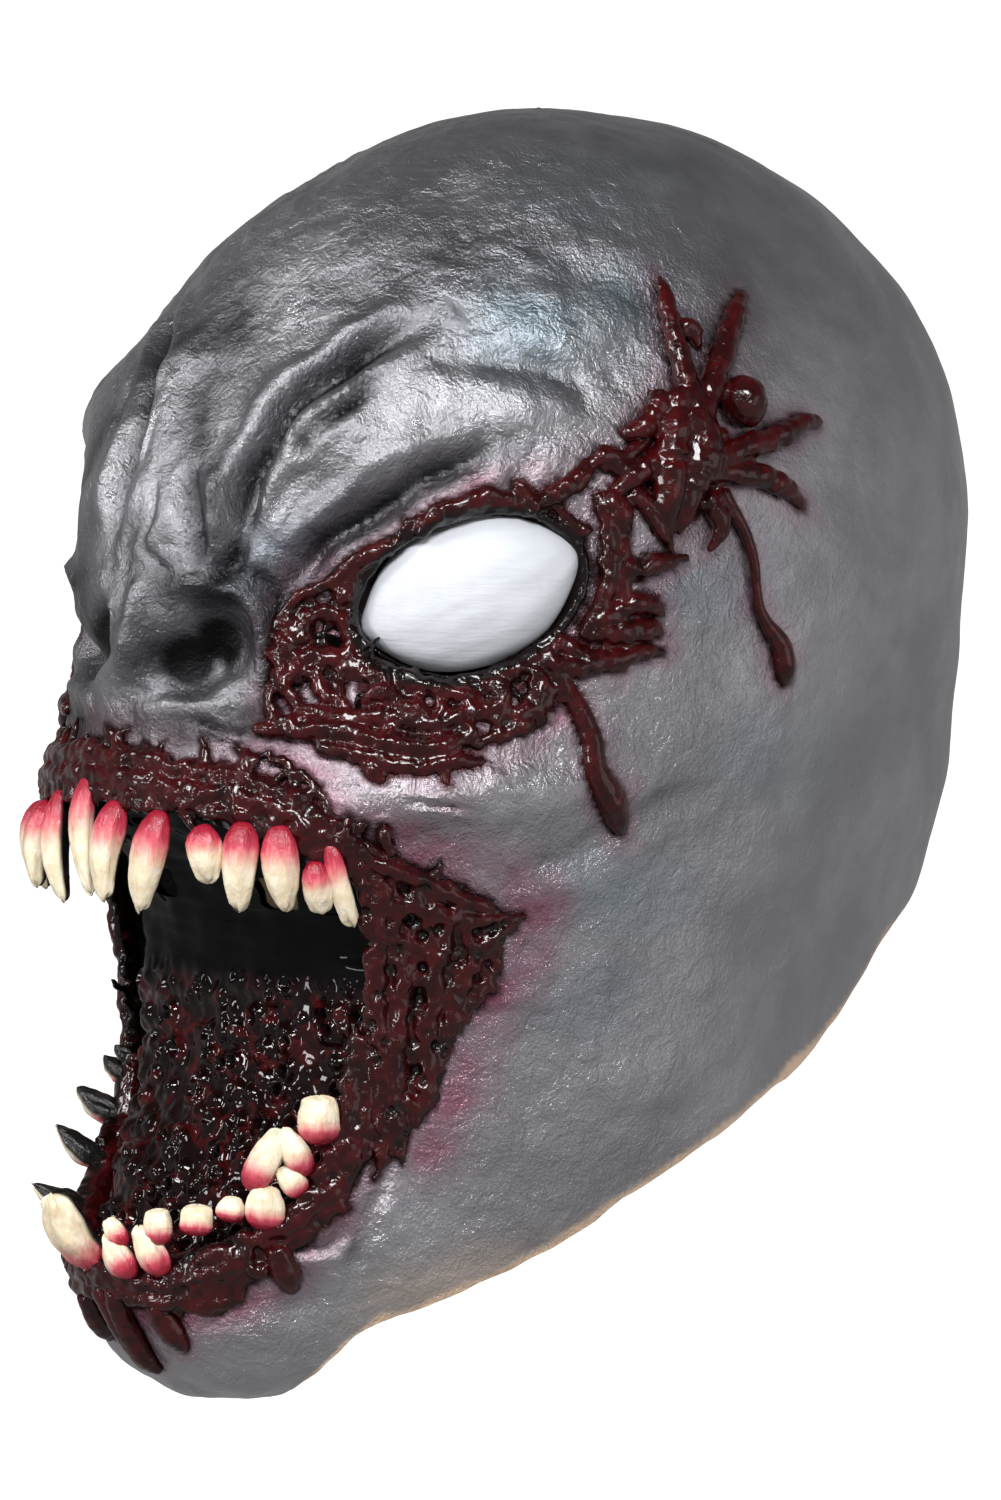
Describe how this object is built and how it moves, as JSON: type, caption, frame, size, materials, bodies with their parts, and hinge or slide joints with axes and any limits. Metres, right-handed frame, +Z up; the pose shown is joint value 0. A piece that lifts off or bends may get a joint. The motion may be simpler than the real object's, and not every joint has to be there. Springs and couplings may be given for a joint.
{
  "type": "full-head latex monster mask",
  "caption": "Hollow full-head latex costume mask: open fanged jaw, blank white eye domes, torn gore round eyes, mouth and temple; pulled on over the head.",
  "frame": {"origin": "middle of the wearer's head, between the ears and at their height", "axes": "+Z up, -Y the way the face looks, +X the wearer's left"},
  "size_m": [0.2029, 0.2995, 0.356],
  "materials": {
    "silver_latex": "satin metallic paint on natural latex",
    "gore": "dark oxblood paint under gloss varnish on built-up latex",
    "black_latex": "glossy black paint on latex",
    "eye_white": "brushed white paint, satin",
    "tooth_ivory": "ivory paint with pink roots, satin"
  },
  "bodies": {
    "root": {"latex_skin": "silver_latex", "throat_liner": "black_latex", "upper_gum": "gore", "lower_gum": "gore", "upper_tooth_left_1": "tooth_ivory", "upper_tooth_left_2": "tooth_ivory", "upper_tooth_left_3": "tooth_ivory", "upper_tooth_left_4": "tooth_ivory", "upper_tooth_left_5": "tooth_ivory", "upper_tooth_left_6": "tooth_ivory", "upper_tooth_left_7": "tooth_ivory", "upper_tooth_right_1": "tooth_ivory", "upper_tooth_right_2": "tooth_ivory", "upper_tooth_right_3": "tooth_ivory", "upper_tooth_right_4": "tooth_ivory", "upper_tooth_right_5": "tooth_ivory", "upper_tooth_right_6": "tooth_ivory", "upper_tooth_right_7": "tooth_ivory", "lower_tooth_left_1": "tooth_ivory", "lower_tooth_left_2": "tooth_ivory", "lower_tooth_left_3": "tooth_ivory", "lower_tooth_left_4": "tooth_ivory", "lower_tooth_left_5": "tooth_ivory", "lower_tooth_left_6": "tooth_ivory", "lower_tooth_left_7": "tooth_ivory", "lower_tooth_left_8": "tooth_ivory", "lower_tooth_left_9": "tooth_ivory", "lower_tooth_right_1": "tooth_ivory", "lower_tooth_right_2": "tooth_ivory", "lower_tooth_right_3": "tooth_ivory", "lower_tooth_right_4": "tooth_ivory", "lower_tooth_right_5": "tooth_ivory", "lower_tooth_right_6": "tooth_ivory", "lower_tooth_right_7": "tooth_ivory", "lower_tooth_right_8": "tooth_ivory", "eye_dome_left": "eye_white", "eye_gore_left": "gore", "cheek_gore_left": "gore", "eye_drip_left": "gore", "chin_drip_front_left": "gore", "chin_drip_middle_left": "gore", "chin_drip_side_left": "gore", "eye_dome_right": "eye_white", "eye_gore_right": "gore", "cheek_gore_right": "gore", "eye_drip_right": "gore", "chin_drip_front_right": "gore", "chin_drip_middle_right": "gore", "chin_drip_side_right": "gore", "temple_wound_left": "gore", "temple_drip_left": "gore"}
  },
  "joints": []
}
